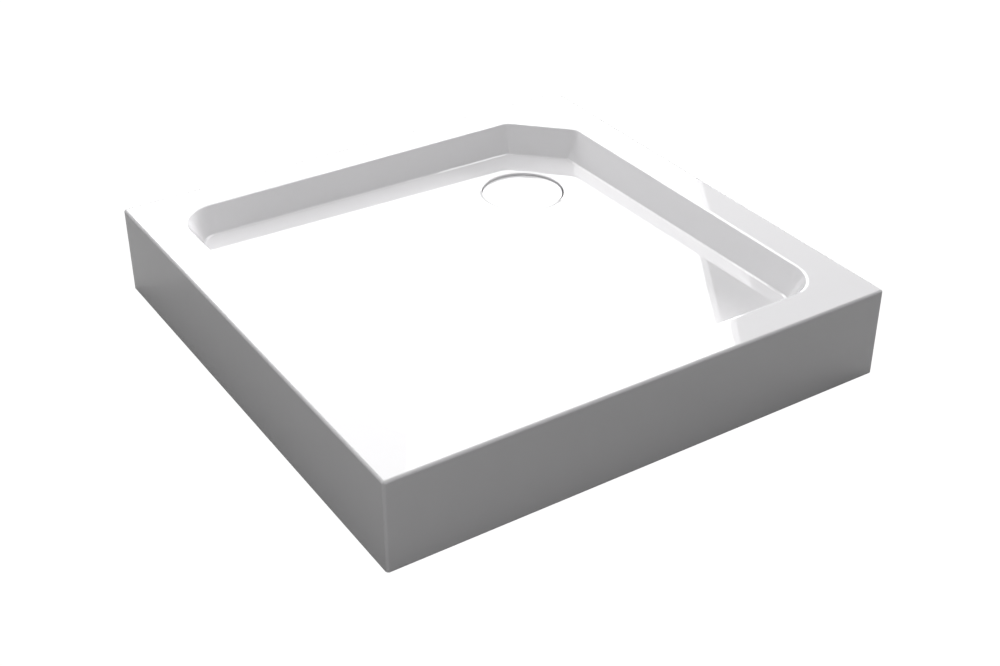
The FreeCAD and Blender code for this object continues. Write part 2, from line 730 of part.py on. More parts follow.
def drain_cover():
    """The plain disc that hides the waste, on four legs."""
    body = lathe("drain_cover", [
        ("0", COVER_BOTTOM), ("cover_radius", COVER_BOTTOM), ("cover_radius", "cover_top - cover_edge"),
        ("cover_radius - cover_edge", "cover_top"), ("0", "cover_top")])
    legs = new_sketch(body, "cover_legs", "XY_Plane", COVER_BOTTOM)
    width = "cover_leg_width"
    for x, y in QUARTER_TURNS:
        box(legs, f"{x} * cover_leg_circle", f"{y} * cover_leg_circle", width, width)
    pad(body, legs, f"{COVER_BOTTOM} - {PLATE_TOP}", "cover_leg_pads", down=True)
    return body


waste_parts = [
    waste_flange(), trap_body(), outlet_nut(), dip_tube(), trap_cup(), drain_cover(),
    body_gasket()]

# -------------------------------------------------------------------- check and write
doc.recompute()
for item in doc.Objects:
    if "Invalid" in item.State or "Error" in item.State:
        raise RuntimeError(f"{item.Label}: {item.getStatusString()}")

nodes = [tray_shell, laminate_backing, board, caps, rail_nuts]
nodes += battens + rails + foot_parts + waste_parts
os.makedirs("parts", exist_ok=True)
for node in nodes:
    shape = node.Shape
    if shape.isNull() or not shape.isValid() or shape.Volume <= 0:
        raise RuntimeError(f"{node.Label} is not a valid solid")
    shape.exportStep(f"parts/{node.Label}.step")
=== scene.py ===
"""The look of a square acrylic shower tray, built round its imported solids.

Everything is in metres in the part's own frame: +Z up, +Y the back, +X the right, the origin
on the floor under the middle of the tray.  The camera stands in front and to the left.
"""
import math

import bmesh
import bpy
from mathutils import Euler, Matrix, Vector
from mathutils.geometry import tessellate_polygon


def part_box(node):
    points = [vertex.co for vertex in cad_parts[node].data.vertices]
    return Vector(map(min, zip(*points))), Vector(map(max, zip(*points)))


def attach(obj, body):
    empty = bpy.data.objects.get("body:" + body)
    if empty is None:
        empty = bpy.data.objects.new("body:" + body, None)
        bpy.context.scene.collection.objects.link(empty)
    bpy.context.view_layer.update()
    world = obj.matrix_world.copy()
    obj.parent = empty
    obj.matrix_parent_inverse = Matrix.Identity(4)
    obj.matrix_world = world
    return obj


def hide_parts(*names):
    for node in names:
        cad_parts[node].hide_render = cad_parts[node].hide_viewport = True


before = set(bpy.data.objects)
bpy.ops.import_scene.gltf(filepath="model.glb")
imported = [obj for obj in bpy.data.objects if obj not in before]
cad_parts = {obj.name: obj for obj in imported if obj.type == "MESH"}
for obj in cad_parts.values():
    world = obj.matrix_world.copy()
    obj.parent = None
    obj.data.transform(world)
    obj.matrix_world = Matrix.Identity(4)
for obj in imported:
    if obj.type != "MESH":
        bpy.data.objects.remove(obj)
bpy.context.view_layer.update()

MM = 0.001
HEXAGON = 6                             # sides

# --------------------------------------------------------------------------- driving sizes
TRAY_LOW, TRAY_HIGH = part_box("tray_shell")
SIDE = TRAY_HIGH.x - TRAY_LOW.x
TOP = TRAY_HIGH.z
SHEET = 4 * MM
LAMINATE = 3 * MM
LAMINATE_HEM = 15 * MM                  # bare strip of apron under the laminate's edge
OUTER_CORNER = 5 * MM
OUTER_TOP = 4.5 * MM
RIM_WIDTH = 66 * MM
WALL_SLOPE = math.radians(30)           # from upright
WALL_DROP = 1 / math.tan(WALL_SLOPE)    # how far the wall goes down for each step inward
BASIN_CORNER = 65 * MM
BEVEL_LEG = 96 * MM                     # the basin's cut corner
BEVEL_CORNER = 25 * MM
LEAST_CORNER = 0.5 * MM                 # what a corner's radius may shrink to lower down
LIP_WIDTH = 4 * MM                      # gently sloping strip between the rim and the wall
LIP_SLOPE = math.radians(10)            # from level
LIP_RADII = (8 * MM, 2 * MM)            # of the strip's upper and lower edge
BASE_WIDTH = 3 * MM                     # the same between the wall and the floor
BASE_SLOPE = math.radians(19.5)
BASE_RADII = (2 * MM, 3 * MM)
FLOOR_DEPTH = 43 * MM                   # at the middle of the tray
FALL = math.radians(0.76)               # of the floor, along the diagonal
DRAIN = Vector((212 * MM, 212 * MM, 0))
WELL_RADIUS = 74 * MM
WELL_EDGE = 1 * MM
WELL_DISH = 6 * MM                      # width of the shallow ring round the well
WELL_DISH_SLOPE = math.radians(12)
WELL_FILLET = 3 * MM
WELL_FLOOR = 89 * MM
HOLE_RADIUS = 45 * MM
NOTCH_RADIUS = 30 * MM
NOTCH_HEIGHT = 38 * MM
FLAT_MARGIN = 12 * MM                   # flat strip kept round each fillet, so it shades cleanly

# ---------------------------------------------------------------- how finely things are drawn
ARC_STEPS = 8
CORNER_STEPS = 18
BEVEL_STEPS = 9
NOTCH_STEPS = 32
OUTER_STEPS = 5
ROUND_STEPS = 128
AXIS = 0.01 * MM                        # a profile starts this far from the axis it turns round
MERGE_DISTANCE = 1e-7                   # points closer than this become one
SHARP_ANGLE = 35                        # degrees; an edge that turns by more stays sharp

# ---------------------------------------------------------------------------------- camera
CAMERA_PLACE = (-1.20739, -1.89140, 1.42454)
CAMERA_TURN = (57.40, -0.096, -33.03)   # degrees
CAMERA_LENS = 56.61
SENSOR = 36.0
CAMERA_REACH = 100                      # nothing further away is drawn
VIEW_AZIMUTH = -math.radians(CAMERA_TURN[2])    # the way the camera looks, from +Y towards +X
HEADING = Vector((math.sin(VIEW_AZIMUTH), math.cos(VIEW_AZIMUTH), 0))
ACROSS = Vector((math.cos(VIEW_AZIMUTH), -math.sin(VIEW_AZIMUTH), 0))


# --------------------------------------------------------------------------- small helpers
def floor_height(x, y):
    """Height of the basin floor, which falls along the diagonal towards the drain."""
    return TOP - FLOOR_DEPTH - (x + y) * math.tan(FALL) / math.sqrt(2)


def rounded(profile):
    """A profile of (out, up, radius) corners with each radius turned into an arc."""
    corners = [Vector((out, up)) for out, up, _ in profile]
    radii = [radius for _, _, radius in profile]
    points = [corners[0]]
    for before, corner, after, radius in zip(corners, corners[1:], corners[2:], radii[1:]):
        if radius == 0:
            points.append(corner)
            continue
        back = (before - corner).normalized()
        ahead = (after - corner).normalized()
        half = back.angle(ahead) / 2
        centre = corner + (back + ahead).normalized() * radius / math.sin(half)
        start = corner + back * radius / math.tan(half) - centre
        end = corner + ahead * radius / math.tan(half) - centre
        points += [centre + start.slerp(end, step / ARC_STEPS) * radius
                   for step in range(ARC_STEPS + 1)]
    points.append(corners[-1])
    return points


def corner_columns(centre, radius, start, sweep, steps):
    """Upright columns round one corner: (arc centre, outward direction, radius, inner).

    Inner is the way that the arc's centre moves once the corner has shrunk to its least radius.
    """
    middle = start + sweep / 2
    inner = -Vector((math.cos(middle), math.sin(middle))) / math.cos(sweep / 2)
    angles = [start + sweep * step / steps for step in range(steps + 1)]
    return [(centre, Vector((math.cos(angle), math.sin(angle))), radius, inner) for angle in angles]


def basin_columns(grown):
    """Columns round the basin at the rim, with all of its sides moved out by grown."""
    half = SIDE / 2 - RIM_WIDTH + grown
    leg = BEVEL_LEG + (2 - math.sqrt(2)) * grown
    quarter = math.pi / 2
    eighth = math.pi / 4
    radius = BASIN_CORNER + grown
    columns = []
    for number, (x, y) in enumerate(((-1, -1), (1, -1))):
        centre = Vector((x, y)) * (half - radius)
        columns += corner_columns(centre, radius, (2 + number) * quarter, quarter, CORNER_STEPS)
    small = BEVEL_CORNER + grown
    setback = small * math.tan(eighth / 2)
    right_end = Vector((half - small, half - leg - setback))
    back_end = Vector((half - leg - setback, half - small))
    columns += corner_columns(right_end, small, 0, eighth, BEVEL_STEPS)
    columns += corner_columns(back_end, small, eighth, eighth, BEVEL_STEPS)
    centre = Vector((-1, 1)) * (half - radius)
    columns += corner_columns(centre, radius, quarter, quarter, CORNER_STEPS)
    return columns


def square_columns(half, radius):
    """Columns round a square with rounded corners."""
    quarter = math.pi / 2
    columns = []
    for number, (x, y) in enumerate(((-1, -1), (1, -1), (1, 1), (-1, 1))):
        centre = Vector((x, y)) * (half - radius)
        columns += corner_columns(centre, radius, (2 + number) * quarter, quarter, OUTER_STEPS)
    return columns


def place(column, inward, height):
    """The point of a column that lies inward of its outline, at a height.

    Further in than the corner's radius, the corner keeps its least radius and its centre moves.
    """
    centre, outward, radius, inner = column
    excess = max(inward - radius + LEAST_CORNER, 0)
    flat = centre + inner * excess + outward * (radius - inward + excess)
    return Vector((flat.x, flat.y, height))


def floor_line(column, wall_top, below):
    """Where a column's wall meets the floor: how far inward, how high, and the floor's slope."""
    centre, outward, radius, _ = column
    rim = centre + outward * radius
    slope = math.tan(FALL) / math.sqrt(2) * (outward.x + outward.y)
    floor = floor_height(rim.x, rim.y) - below
    inward = (wall_top - floor) / (WALL_DROP + slope)
    return inward, wall_top - inward * WALL_DROP, slope


def grid(mesh, rows):
    """Join rows of points into quads; each row is one closed loop."""
    loops = [[mesh.verts.new(point) for point in row] for row in rows]
    for upper, lower in zip(loops, loops[1:]):
        bridge(mesh, upper, lower)
    return loops


def bridge(mesh, upper, lower, closed=True):
    """Join two rows of points into quads; in closed rows the last point meets the first."""
    count = len(upper)
    for index in range(count if closed else count - 1):
        following = (index + 1) % count
        mesh.faces.new((upper[index], upper[following], lower[following], lower[index]))


def flat_fill(mesh, outer, *holes):
    """Fill the flat space between an outer loop and holes in it."""
    loops = [outer, *holes]
    vertices = [vertex for loop in loops for vertex in loop]
    for triangle in tessellate_polygon([[vertex.co for vertex in loop] for loop in loops]):
        mesh.faces.new([vertices[index] for index in triangle])


def finish_mesh(mesh, name, body, material, replaced=(), sharp=SHARP_ANGLE):
    """Turn a bmesh into a smooth-shaded piece that rides on a body."""
    bmesh.ops.remove_doubles(mesh, verts=mesh.verts, dist=MERGE_DISTANCE)
    bmesh.ops.recalc_face_normals(mesh, faces=mesh.faces)
    data = bpy.data.meshes.new(name)
    mesh.to_mesh(data)
    mesh.free()
    piece = bpy.data.objects.new(name, data)
    bpy.context.scene.collection.objects.link(piece)
    data.materials.append(material)
    data.shade_smooth()
    data.set_sharp_from_angle(angle=math.radians(sharp))
    weighted = piece.modifiers.new("weighted", "WEIGHTED_NORMAL")
    weighted.keep_sharp = True
    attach(piece, body)
    if replaced:
        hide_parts(*replaced)


def lathe(mesh, profile, place_at=Matrix.Translation(DRAIN), steps=ROUND_STEPS, closed=False):
    """Turn a profile of (radius, height) or (half width, height, sides) points round an axis.

    A profile that isn't closed gets a flat face at each end.
    """
    rows = []
    for radius, height, *sides in profile:
        row = []
        for angle in (step * math.tau / steps for step in range(steps)):
            reach = radius
            if sides:
                half = math.pi / sides[0]
                reach = radius / math.cos(angle % (2 * half) - half)
            point = Vector((reach * math.cos(angle), reach * math.sin(angle), height))
            row.append(place_at @ point)
        rows.append(row)
    loops = grid(mesh, rows)
    if closed:
        bridge(mesh, loops[-1], loops[0])
    else:
        mesh.faces.new(loops[0])
        mesh.faces.new(loops[-1])


def fin(mesh, outline, thickness, place_at):
    """A flat rib: an outline of (out, up) points in the XZ plane, thick along Y."""
    sides = []
    for across in (-thickness / 2, thickness / 2):
        points = [place_at @ Vector((out, across, up)) for out, up in outline]
        sides.append([mesh.verts.new(point) for point in points])
    for loop in sides:
        mesh.faces.new(loop)
    bridge(mesh, *sides)


def block(mesh, size, place_at, edge):
    """A block with eased edges."""
    made = bmesh.ops.create_cube(mesh, size=1, matrix=place_at @ Matrix.Diagonal((*size, 1)))
    edges = {line for vertex in made["verts"] for line in vertex.link_edges}
    bmesh.ops.bevel(mesh, geom=list(edges), offset=edge, segments=2, affect="EDGES")


# ------------------------------------------------------------------------------- materials
class Nodes:
    """A short way to write a node material."""

    def __init__(self, name):
        self.material = bpy.data.materials.new(name)
        self.material.use_nodes = True
        self.tree = self.material.node_tree
        self.shader = self.tree.nodes["Principled BSDF"]

    def add(self, kind, links=None, **values):
        """A new node, with outputs linked to its sockets and values set on sockets or itself."""
        node = self.tree.nodes.new(kind)
        for key, value in values.items():
            if key in node.inputs:
                node.inputs[key].default_value = value
            else:
                setattr(node, key, value)
        for key, output in (links or {}).items():
            self.tree.links.new(output, node.inputs[key])
        return node

    def coordinates(self, scale=(1, 1, 1), turn=(0, 0, 0)):
        """The object's own coordinates, stretched and turned."""
        source = self.add("ShaderNodeTexCoord")
        mapping = self.add("ShaderNodeMapping", {"Vector": source.outputs["Object"]})
        mapping.inputs["Scale"].default_value = scale
        mapping.inputs["Rotation"].default_value = turn
        return mapping.outputs["Vector"]

    def noise(self, vector, scale, detail=3.0, roughness=0.5, distortion=0.0):
        node = self.add("ShaderNodeTexNoise", {"Vector": vector}, Scale=scale, Detail=detail,
                        Roughness=roughness, Distortion=distortion)
        return node.outputs["Fac"]

    def cells(self, vector, scale):
        """A random value for each cell of a Voronoi pattern."""
        node = self.add("ShaderNodeTexVoronoi", {"Vector": vector}, Scale=scale)
        return self.add("ShaderNodeRGBToBW", {"Color": node.outputs["Color"]}).outputs[0]

    def mixed(self, one, other, share):
        """One value with a share of another in it."""
        node = self.add("ShaderNodeMix", {"A": one, "B": other}, Factor=share)
        return node.outputs["Result"]

    def crossed(self, pattern, turns):
        """The highest of one pattern laid in several directions."""
        highest = pattern(turns[0])
        for turn in turns[1:]:
            node = self.add("ShaderNodeMath", operation="MAXIMUM")
            self.tree.links.new(highest, node.inputs[0])
            self.tree.links.new(pattern(turn), node.inputs[1])
            highest = node.outputs[0]
        return highest

    def ramp(self, value, *stops):
        """Map a value through (position, colour) stops."""
        node = self.add("ShaderNodeValToRGB", {"Fac": value})
        elements = node.color_ramp.elements
        while len(elements) < len(stops):
            elements.new(0.5)
        for element, (position, colour) in zip(elements, stops):
            element.position = position
            element.color = (*colour, 1)
        return node.outputs["Color"]

    def between(self, value, low, high):
        """Map a value from 0..1 to low..high."""
        node = self.add("ShaderNodeMapRange", {"Value": value})
        node.inputs["To Min"].default_value = low
        node.inputs["To Max"].default_value = high
        return node.outputs["Result"]

    def bump(self, height, strength, distance):
        node = self.add("ShaderNodeBump", {"Height": height}, Strength=strength, Distance=distance)
        self.tree.links.new(node.outputs["Normal"], self.shader.inputs["Normal"])

    def set(self, **values):
        """Set shader sockets: a plain value stays on the socket, an output is linked to it."""
        for key, value in values.items():
            socket = self.shader.inputs[key.replace("_", " ")]
            if isinstance(value, bpy.types.NodeSocket):
                self.tree.links.new(value, socket)
            else:
                socket.default_value = value


def acrylic(name):
    """Polished white sheet: a faint vacuum-forming ripple and faint polishing haze."""
    nodes = Nodes(name)
    where = nodes.coordinates()
    ripple = nodes.noise(where, scale=9, detail=2)
    haze = nodes.noise(where, scale=40, detail=4)
    white = (0.9, 0.8937, 0.909)
    dull = (0.8946, 0.8865, 0.9)
    nodes.set(Base_Color=nodes.ramp(haze, (0.3, white), (0.75, dull)),
              Roughness=nodes.between(haze, low=0.015, high=0.03), IOR=1.49,
              Specular_IOR_Level=1.0, Coat_Weight=1.0, Coat_IOR=1.6, Coat_Roughness=0.01)
    nodes.bump(ripple, strength=0.02, distance=0.004)
    return nodes.material


def laminate():
    """Sprayed glass fibre in resin: short strands crossing each other, and a lumpy back."""
    nodes = Nodes("glass_laminate")

    def strands_along(turn):
        where = nodes.coordinates(scale=(24, 1.6, 24), turn=(turn * 0.5, turn * 0.3, turn))
        return nodes.noise(where, scale=14, detail=2, roughness=0.4)

    strands = nodes.crossed(strands_along, turns=(0.2, 1.3, 2.4))
    lumps = nodes.noise(nodes.coordinates(), scale=55, detail=6, roughness=0.6)
    resin = (0.52, 0.53, 0.44)
    glass = (0.78, 0.79, 0.72)
    nodes.set(Base_Color=nodes.ramp(strands, (0.45, resin), (0.6, glass)),
              Roughness=nodes.between(lumps, low=0.35, high=0.7))
    nodes.bump(nodes.mixed(strands, lumps, share=0.6), strength=0.8, distance=0.0015)
    return nodes.material


def chipboard():
    """Raw chipboard: flat wood chips of many tones, pressed together."""
    nodes = Nodes("chipboard")
    chips = nodes.cells(nodes.coordinates(scale=(1, 1.6, 3)), scale=260)
    larger = nodes.cells(nodes.coordinates(scale=(1.7, 1, 3)), scale=120)
    tone = nodes.mixed(chips, larger, share=0.4)
    dark = (0.30, 0.20, 0.11)
    brown = (0.53, 0.39, 0.23)
    pale = (0.70, 0.56, 0.37)
    nodes.set(Base_Color=nodes.ramp(tone, (0.1, dark), (0.5, brown), (0.9, pale)),
              Roughness=nodes.between(chips, low=0.75, high=0.95))
    nodes.bump(tone, strength=0.5, distance=0.0006)
    return nodes.material


def softwood(name, scale):
    """Planed softwood, its grain along the axis that scale shrinks."""
    nodes = Nodes(name)
    rings = nodes.noise(nodes.coordinates(scale), scale=70, detail=4, roughness=0.55,
                        distortion=0.6)
    fine_scale = [part * 6 for part in scale]
    fibres = nodes.noise(nodes.coordinates(fine_scale), scale=130)
    early = (0.76, 0.58, 0.36)
    late = (0.62, 0.41, 0.21)
    pale = (0.80, 0.64, 0.42)
    nodes.set(Base_Color=nodes.ramp(rings, (0.35, early), (0.5, late), (0.62, pale)),
              Roughness=nodes.between(fibres, low=0.55, high=0.8))
    nodes.bump(nodes.mixed(rings, fibres, share=0.5), strength=0.35, distance=0.0004)
    return nodes.material


def galvanised():
    """Galvanised steel, with the spangle of its zinc."""
    nodes = Nodes("galvanised_steel")
    spangle = nodes.cells(nodes.coordinates(), scale=110)
    stain = nodes.noise(nodes.coordinates(), scale=9, detail=5)
    tone = nodes.mixed(spangle, stain, share=0.4)
    dark = (0.40, 0.42, 0.44)
    bright = (0.66, 0.68, 0.70)
    nodes.set(Base_Color=nodes.ramp(tone, (0.2, dark), (0.8, bright)),
              Roughness=nodes.between(spangle, low=0.35, high=0.6), Metallic=0.6)
    nodes.bump(spangle, strength=0.12, distance=0.0003)
    return nodes.material


def zinc():
    """Zinc plated steel: bluish, with a faint yellow bloom."""
    nodes = Nodes("zinc_plate")
    bloom = nodes.noise(nodes.coordinates(), scale=120, detail=4)
    grain = nodes.noise(nodes.coordinates(), scale=900, detail=2)
    bluish = (0.60, 0.63, 0.67)
    yellowish = (0.70, 0.68, 0.58)
    nodes.set(Base_Color=nodes.ramp(bloom, (0.35, bluish), (0.7, yellowish)),
              Roughness=nodes.between(grain, low=0.3, high=0.45), Metallic=0.6)
    nodes.bump(grain, strength=0.15, distance=0.0002)
    return nodes.material


def moulded(name, dark, light, low, high, grain=700):
    """Moulded plastic between two tones and two roughnesses, with a fine grain and flow marks."""
    nodes = Nodes(name)
    where = nodes.coordinates(scale=(1, 1, 3))
    flow = nodes.noise(where, scale=18, detail=3, roughness=0.5, distortion=0.8)
    fine = nodes.noise(nodes.coordinates(), scale=grain, detail=2)
    nodes.set(Base_Color=nodes.ramp(flow, (0.3, dark), (0.7, light)),
              Roughness=nodes.between(fine, low, high))
    nodes.bump(fine, strength=0.25, distance=0.0002)
    return nodes.material


# ------------------------------------------------------------------------------- tray shell
def cut_notch(mesh, foot, above, back, foot_height):
    """Cut the pipe notch into the back of the apron and return the foot's new outline."""
    left = 3 * (OUTER_STEPS + 1)        # the first column of the square's fourth corner
    mesh.faces.remove(mesh.faces.get((foot[left - 1], foot[left], above[left], above[left - 1])))
    angles = [math.pi * step / NOTCH_STEPS for step in range(NOTCH_STEPS + 1)]
    arch = [(DRAIN.x + NOTCH_RADIUS * math.cos(angle), back,
             NOTCH_HEIGHT + NOTCH_RADIUS * math.sin(angle)) for angle in angles]
    points = [(arch[0][0], back, foot_height), *arch, (arch[-1][0], back, foot_height)]
    notch = [mesh.verts.new(point) for point in points]
    flat_fill(mesh, [foot[left - 1], *notch, foot[left], above[left], above[left - 1]])
    return [*foot[:left], *notch, *foot[left:]]


def apron_face(mesh, behind, foot_height):
    """The apron's face: returns the loops at its foot and round the rim."""
    top = TOP - behind
    half = SIDE / 2 - behind
    if behind > 0:
        section = [Vector((0, foot_height)), Vector((0, top))]
    else:
        section = rounded([(0, foot_height, 0), (0, top, OUTER_TOP), (SIDE, top, 0)])[:-1]
    columns = square_columns(half, OUTER_CORNER - behind)
    rows = [[place(column, point.x, point.y) for column in columns] for point in section]
    loops = grid(mesh, rows)
    foot = cut_notch(mesh, loops[0], loops[1], half, foot_height)
    return foot, loops[-1]


def wall_profile(top, inward, height, slope, hidden):
    """The corners of the basin wall's section, from the rim down to the floor."""
    rim = (-FLAT_MARGIN, top, 0)
    floor = (inward + FLAT_MARGIN, height + slope * FLAT_MARGIN, 0)
    if hidden:
        return [rim, (0, top, 0), (inward, height, 0), floor]
    lip_tilt = math.tan(LIP_SLOPE)
    base_tilt = math.tan(BASE_SLOPE)
    lip = LIP_WIDTH * lip_tilt / (WALL_DROP - lip_tilt)
    base = BASE_WIDTH * (base_tilt + slope) / (WALL_DROP - base_tilt)
    return [rim,
            (-LIP_WIDTH, top, LIP_RADII[0]),
            (lip, top - lip * WALL_DROP, LIP_RADII[1]),
            (inward - base, height + base * WALL_DROP, BASE_RADII[0]),
            (inward + BASE_WIDTH, height + slope * BASE_WIDTH, BASE_RADII[1]),
            floor]


def basin_face(mesh, behind):
    """The basin wall's face: returns the loops round the rim and on the floor."""
    top = TOP - behind
    below = behind / math.cos(FALL)
    columns = basin_columns(behind / math.cos(WALL_SLOPE))
    profiles = []
    for column in columns:
        inward, height, slope = floor_line(column, top, below)
        profiles.append(rounded(wall_profile(top, inward, height, slope, behind > 0)))
    rows = [[place(column, point.x, point.y) for column, point in zip(columns, points)]
            for points in zip(*profiles)]
    for row in rows[-2:]:               # these two lie on the floor
        for point in row:
            point.z = floor_height(point.x, point.y) - below
    loops = grid(mesh, rows)
    return loops[0], loops[-1]


def well_profile(angle, behind, hole_radius):
    """The well's section in one direction, from the floor round it down to its hole."""
    radius = WELL_RADIUS + behind
    bottom = WELL_FLOOR - behind
    below = behind / math.cos(FALL)
    reaches = (radius + FLAT_MARGIN, radius + WELL_DISH, radius)
    flat, ring, brink = [
        floor_height(DRAIN.x + reach * math.cos(angle), DRAIN.y + reach * math.sin(angle)) - below
        for reach in reaches]
    if behind > 0:
        radii = (0, 0, 0)
    else:
        brink -= WELL_DISH * math.tan(WELL_DISH_SLOPE)
        radii = (0, WELL_DISH, WELL_EDGE)
    upper = list(zip(reaches, (flat, ring, brink), radii))
    return rounded([*upper, (radius, bottom, WELL_FILLET + behind), (hole_radius, bottom, 0)])


def well_face(mesh, behind, hole_radius):
    """The well's face: returns the loops on the floor and round the hole."""
    angles = [step * math.tau / ROUND_STEPS for step in range(ROUND_STEPS)]
    profiles = [well_profile(angle, behind, hole_radius) for angle in angles]
    rows = [[DRAIN + Vector((point.x * math.cos(angle), point.x * math.sin(angle), point.y))
             for angle, point in zip(angles, points)] for points in zip(*profiles)]
    loops = grid(mesh, rows)
    return loops[0], loops[-1]


def skin(mesh, behind, foot_height=0.0, hole_radius=HOLE_RADIUS):
    """The visible face of the sheet, or a face hidden some distance behind it.

    Returns the loop at the foot of the apron and the loop round the hole in the well.
    """
    foot, rim_outside = apron_face(mesh, behind, foot_height)
    rim_inside, floor_outside = basin_face(mesh, behind)
    flat_fill(mesh, rim_outside, rim_inside)
    floor_inside, hole = well_face(mesh, behind, hole_radius)
    flat_fill(mesh, floor_outside, floor_inside)
    return foot, hole


def tray_shell(material):
    """The moulded acrylic sheet, with its foot and its waste hole closed all round."""
    mesh = bmesh.new()
    front = skin(mesh, 0.0)
    back = skin(mesh, SHEET)
    for one, other in zip(front, back):
        bridge(mesh, one, other)
    finish_mesh(mesh, "tray", "root", material, ["tray_shell"])


def laminate_backing(material):
    """The glass fibre laminate that stiffens the sheet from behind.

    It goes down the well's side and turns outward at the well's foot.
    """
    hole = WELL_RADIUS + SHEET + 2 * LAMINATE
    mesh = bmesh.new()
    front = skin(mesh, SHEET, LAMINATE_HEM, hole)
    back = skin(mesh, SHEET + LAMINATE, LAMINATE_HEM, hole)
    for one, other in zip(front, back):
        bridge(mesh, one, other)
    finish_mesh(mesh, "laminate", "root", material, ["laminate_backing"])


# ------------------------------------------------------------------------------ drain cover
COVER_LOW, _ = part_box("drain_cover")
COVER_RADIUS = 72.5 * MM
COVER_SHIFT = 0.9 * MM                  # off the drain's axis, towards the camera's left
COVER_TOP = 103.5 * MM                  # at its middle
COVER_TILT = math.radians(1.4)          # it falls towards the back, where the water runs in
COVER_LOW_SIDE = math.radians(77)       # the way that it falls, from +X towards +Y
COVER_THICKNESS = 3 * MM
COVER_EDGE = 0.5 * MM
COVER_RING = 60 * MM                    # inner radius of the ring underneath
COVER_RING_SIZE = 2 * MM                # its width and its depth
LEG_CIRCLE = 50 * MM
LEG_WIDTH = 7 * MM


def drain_cover(material):
    """A flat disc on four legs, a little lower at the back, with a stiffening ring underneath."""
    bottom = -COVER_THICKNESS
    ring_bottom = bottom - COVER_RING_SIZE
    ring_outside = COVER_RING + COVER_RING_SIZE
    profile = rounded([(AXIS, bottom, 0), (COVER_RING, bottom, 0), (COVER_RING, ring_bottom, 0),
                       (ring_outside, ring_bottom, 0), (ring_outside, bottom, 0),
                       (COVER_RADIUS, bottom, COVER_EDGE), (COVER_RADIUS, 0, COVER_EDGE),
                       (AXIS, 0, 0)])
    low_side = Vector((math.cos(COVER_LOW_SIDE), math.sin(COVER_LOW_SIDE), 0))
    tilt = Matrix.Rotation(COVER_TILT, 4, Vector((0, 0, 1)).cross(low_side))
    middle = DRAIN - ACROSS * COVER_SHIFT + Vector((0, 0, COVER_TOP))
    mesh = bmesh.new()
    lathe(mesh, profile, Matrix.Translation(middle) @ tilt)
    foot = COVER_LOW.z
    for x, y in ((1, 0), (0, 1), (-1, 0), (0, -1)):
        out = Vector((x, y, 0)) * LEG_CIRCLE
        top = COVER_TOP - math.tan(COVER_TILT) * out.dot(low_side) - COVER_THICKNESS / 2
        place_at = Matrix.Translation(DRAIN + out + Vector((0, 0, (foot + top) / 2)))
        block(mesh, (LEG_WIDTH, LEG_WIDTH, top - foot), place_at, COVER_EDGE)
    finish_mesh(mesh, "cover", "drain_cover", material, ["drain_cover"])


# ------------------------------------------------------------------------------ underframe
LEAN = Matrix.Rotation(FALL, 4, Vector((-1, 1, 0)))
LEVEL_TOP = Vector((0, 0, TOP - FLOOR_DEPTH))
RAIL_BOTTOM = 68 * MM                   # before the frame is laid on the floor's fall
NUT_BOTTOM = 57.5 * MM
NUT_FLATS = 17 * MM
NUT_CHAMFER = 0.9 * MM
LOCK_NUT = 6 * MM
NUT_GAP = 0.1 * MM                      # between a lock nut and the stud, and above it
FOOT_OFFSET = 315 * MM
FEET = {"front_left": (-1, -1), "front_right": (1, -1), "back_left": (-1, 1),
        "back_right": (1, 1), "centre": (0, 0)}
STUD_RADIUS = 5 * MM
STUD_CORE = 4.3 * MM
STUD_LENGTH = 76 * MM
STUD_HEXAGON = 14 * MM
STUD_FLATS = 13 * MM
STUD_CHAMFER = 0.6 * MM
STUD_BOTTOM = 4.1 * MM
STUD_LIFT = 0.1 * MM                    # the drawn stud ends this far above the solid's end
STUD_STOP = 0.2 * MM                    # and this far below its top
PITCH = 1.5 * MM
THREAD_STEPS = 24
SEAT_HEIGHT = 4 * MM                    # floor of a pad's socket above the ground
PAD_HUB = 12.5 * MM
PAD_EDGE = 23 * MM
PAD_TOP = 12.5 * MM
PAD_RIBS = 8
RIB = 2 * MM
# Outline of a pad's rib: (out from the pad's middle, up from the ground)
PAD_RIB = ((PAD_HUB - RIB, PAD_TOP - RIB), (PAD_HUB + 1 * MM, PAD_TOP - 0.3 * MM),
           (PAD_EDGE - 4 * MM, 8.5 * MM), (PAD_EDGE - 1 * MM, 4.5 * MM),
           (PAD_EDGE - 3 * MM, 3 * MM), (PAD_HUB - RIB, 3 * MM))
# Section of a weld bead: (out from the nut, down from the rail)
WELD_BEAD = ((0, 1.8 * MM), (0.9 * MM, 1.1 * MM), (1.8 * MM, 0), (0, 0))
# Section of a rail screw, from its dimple to its flange: (out, down from the rail, sides)
RAIL_SCREW = ((1.2 * MM, 4.2 * MM), (3 * MM, 5 * MM), (4 * MM, 4.4 * MM, HEXAGON),
              (4 * MM, 1.2 * MM, HEXAGON), (6 * MM, 1.2 * MM), (6.3 * MM, 0))
SIDE_RAIL_SCREWS = (-215 * MM, -75 * MM, 75 * MM, 215 * MM)     # places along the rail
CROSS_RAIL_SCREWS = (-160 * MM, 160 * MM)


def laid(x, y, z):
    """The place of a point of the level frame once the frame follows the floor's fall."""
    point = LEVEL_TOP + LEAN @ (Vector((x, y, z)) - LEVEL_TOP)
    return Matrix.Translation(point) @ LEAN


def foot_axis(x, y, height):
    """The point of a foot's leaning axis at a height above the ground."""
    axis = LEAN @ Vector((0, 0, 1))
    top = LEVEL_TOP + LEAN @ Vector((x * FOOT_OFFSET, y * FOOT_OFFSET, 0))
    return top - axis * (top.z - height) / axis.z


